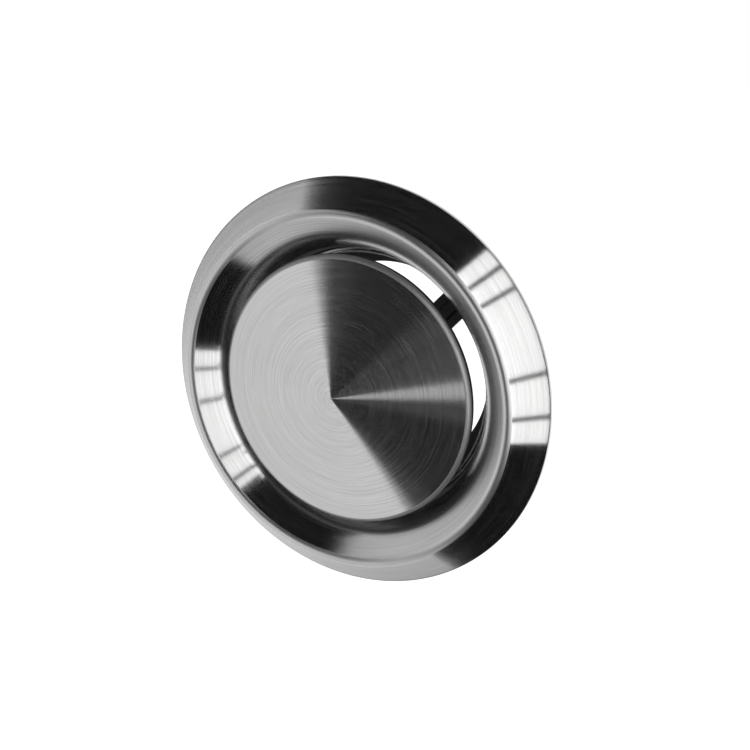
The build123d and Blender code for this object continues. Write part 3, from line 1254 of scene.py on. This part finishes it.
LAMPS = (
    Lamp("key_lamp", (-0.9, -1.0, 0.9), 0.9, 5.0),
    Lamp("fill_lamp", (1.2, -0.6, 0.5), 1.0, 2.0),
    Lamp("back_lamp", (-0.9, 1.2, 0.8), 1.0, 5.0),
)
WHITE = (1.0, 1.0, 1.0, 1.0)


@dataclass
class Studio:
    """White surround, cards for the steel to mirror, soft lamps in front and behind, and a pale floor."""

    view: ViewPoint
    reach: float = 3.0
    floor_drop: float = 1.5
    floor_side: float = 20.0
    floor_tone: float = 0.8
    floor_glow: float = 0.75
    floor_gap: float = 0.02
    surround: float = 0.55
    grid_degrees: float = 3.0
    grazing_degrees: float = 3.0
    zones: tuple[MirrorZone, ...] = ZONES
    lamps: tuple[Lamp, ...] = LAMPS

    def mirrored(self, fan: float, tilt: float) -> Vector:
        """Find what a leaning face shows the camera.

        Args:
            fan: Place round the valve, in degrees.
            tilt: Outward lean of the face, in degrees.

        Returns:
            Unit vector towards what it mirrors.
        """
        lean, turn = math.radians(tilt), math.radians(fan)
        outwards = Vector((math.cos(turn), 0.0, math.sin(turn)))
        normal = outwards * math.sin(lean) - SPIN_AXIS * math.cos(lean)
        back = self.view.axes()[2]
        return 2 * normal.dot(back) * normal - back

    def steepest(self, fan: float) -> float:
        """Find the lean at which a face just comes into the camera's sight.

        Args:
            fan: Place round the valve, in degrees.

        Returns:
            The lean in degrees, a little short of grazing.
        """
        turn = math.radians(fan)
        back = self.view.axes()[2]
        towards = math.cos(turn) * back.x + math.sin(turn) * back.z
        return math.degrees(math.atan2(-back.y, -towards)) - self.grazing_degrees

    def hang(self, zone: MirrorZone, shades: dict[Shade, bpy.types.Material]) -> None:
        """Hang a zone's cards where the steel mirrors them, above the floor.

        Args:
            zone: The row of cards.
            shades: Material of each shade.
        """
        for number, (start, end, shade) in enumerate(zone.stretches(), start=1):
            columns = math.ceil((end[0] - start[0]) / self.grid_degrees)
            rows = math.ceil((zone.tilt[1] - zone.tilt[0]) / self.grid_degrees)
            bm = bmesh.new()
            bmesh.ops.create_grid(bm, x_segments=columns, y_segments=rows, size=0.5)
            for vert in bm.verts:
                tilt = zone.tilt[0] + (vert.co.y + 0.5) * (zone.tilt[1] - zone.tilt[0])
                first, last = zone.edge(start, tilt), zone.edge(end, tilt)
                fan = first + (vert.co.x + 0.5) * (last - first)
                way = self.mirrored(fan, min(tilt, self.steepest(fan)))
                falls = max(-way.z * self.reach / (self.floor_drop - self.floor_gap), 1.0)
                vert.co = way * self.reach / falls
            self.hide(keep(bm, f"{zone.name}_card_{number}", ALL_SMOOTH), shades[shade])

    def hide(self, card: bpy.types.Object, material: bpy.types.Material) -> None:
        """Show a card to mirroring steel alone.

        Args:
            card: The card.
            material: Its shade.
        """
        card.data.materials.append(material)
        card.visible_camera = False
        card.visible_diffuse = False
        card.visible_shadow = False

    def mix_shade(self, shade: Shade) -> bpy.types.Material:
        """Make the even tone of a card.

        Args:
            shade: Its brightness.

        Returns:
            The material.
        """
        material = bpy.data.materials.new(f"card_{shade.name.lower()}")
        material.use_nodes = True
        bench = ShaderBench(material.node_tree)
        tone = bench.node("ShaderNodeEmission", {"Color": WHITE, "Strength": shade.value})
        bench.node("ShaderNodeOutputMaterial", {"Surface": tone.outputs[0]})
        return material

    def paint_surround(self) -> None:
        """White surround for the camera and for what metal mirrors, and soft light for the rest."""
        world = bpy.data.worlds.new("white_surround")
        world.use_nodes = True
        bench = ShaderBench(world.node_tree)
        strength = bench.spread(bench.seen_or_mirrored(), self.surround, 1.0)
        white = bench.node("ShaderNodeBackground", {"Color": WHITE, "Strength": strength})
        bench.node("ShaderNodeOutputWorld", {"Surface": white.outputs[0]})
        bpy.context.scene.world = world

    def lay_floor(self) -> None:
        """Pale floor that looks white and keeps the valve's shadow."""
        bm = bmesh.new()
        bmesh.ops.create_grid(bm, x_segments=1, y_segments=1, size=self.floor_side / 2)
        bmesh.ops.translate(bm, verts=list(bm.verts), vec=(0.0, 0.0, -self.floor_drop))
        floor = keep(bm, "pale_floor", ALL_SMOOTH)
        material = bpy.data.materials.new("pale_floor")
        material.use_nodes = True
        bench = ShaderBench(material.node_tree)
        tone = (self.floor_tone, self.floor_tone, self.floor_tone, 1.0)
        matt = bench.node("ShaderNodeBsdfDiffuse", {"Color": tone})
        strength = bench.spread(bench.seen_or_mirrored(), 0.0, self.floor_glow)
        glow = bench.node("ShaderNodeEmission", {"Color": WHITE, "Strength": strength})
        both = bench.node("ShaderNodeAddShader", {0: matt.outputs[0], 1: glow.outputs[0]})
        bench.node("ShaderNodeOutputMaterial", {"Surface": both.outputs[0]})
        floor.data.materials.append(material)

    def hang_lamp(self, lamp: Lamp) -> None:
        """Hang a lamp, out of the sight of the camera and of the steel.

        Args:
            lamp: The lamp.
        """
        light = bpy.data.lights.new(lamp.name, "AREA")
        light.shape, light.size, light.energy = "SQUARE", lamp.side, lamp.power
        hung = bpy.data.objects.new(lamp.name, light)
        place = Vector(lamp.place)
        facing = place.to_track_quat("Z", "Y").to_matrix().to_4x4()
        hung.matrix_world = Matrix.Translation(place) @ facing
        hung.visible_camera = False
        hung.visible_glossy = False
        bpy.context.scene.collection.objects.link(hung)

    def build(self) -> None:
        """Set the whole studio up."""
        bpy.context.scene.view_settings.view_transform = "Standard"
        self.view.place()
        self.paint_surround()
        self.lay_floor()
        for lamp in self.lamps:
            self.hang_lamp(lamp)
        shades = {shade: self.mix_shade(shade) for shade in Shade}
        for zone in self.zones:
            self.hang(zone, shades)
            LOG.info("studio: %d cards for the %s", len(zone.cards), zone.name)


def dress_frame(frame: dict, materials: dict[Slot, bpy.types.Material]) -> None:
    """Give the CAD nodes the finish that their slot names.

    Args:
        materials: Finishes by slot.
    """
    for subpart in frame["record"]["subparts"]:
        node = frame["nodes"][subpart["node"]]
        node.data.materials.clear()
        node.data.materials.append(materials[Slot(subpart["material_slot"])])
        LOG.info("%s: %s", subpart["node"], subpart["material_slot"])


def main() -> None:
    """Load the frame, dress the valve, and set the studio up round it."""
    logging.basicConfig(level=logging.INFO, format="%(name)s: %(message)s")
    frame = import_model()
    effects = EffectGroups()
    materials = {slot: finish.make(effects) for slot, finish in FINISHES.items()}
    dress_frame(frame, materials)
    ring = FrontRing()
    # The black coat on the ring's throat is painted shade on steel.
    ring.build(materials[Slot.STAINLESS], CREST_FINISH.make(effects), materials[Slot.BLACK_COAT])
    NeckCollar(ring).build(materials[Slot.BLACK_COAT])
    for number, angle in enumerate(CLIP_ANGLES, start=1):
        SpringClip(ring, angle).build(number, materials[Slot.SPRING_STEEL])
    FlangeGasket().build(materials[Slot.FOAM])
    # The black coat on the disc's skirt and hem is painted shade on steel.
    ValveDisc().build(materials[Slot.STAINLESS], RIM_FINISH.make(effects), materials[Slot.BLACK_COAT])
    Spindle().build(materials[Slot.ZINC_STEEL])
    Studio(ViewPoint()).build()


if __name__ == "__main__":
    main()
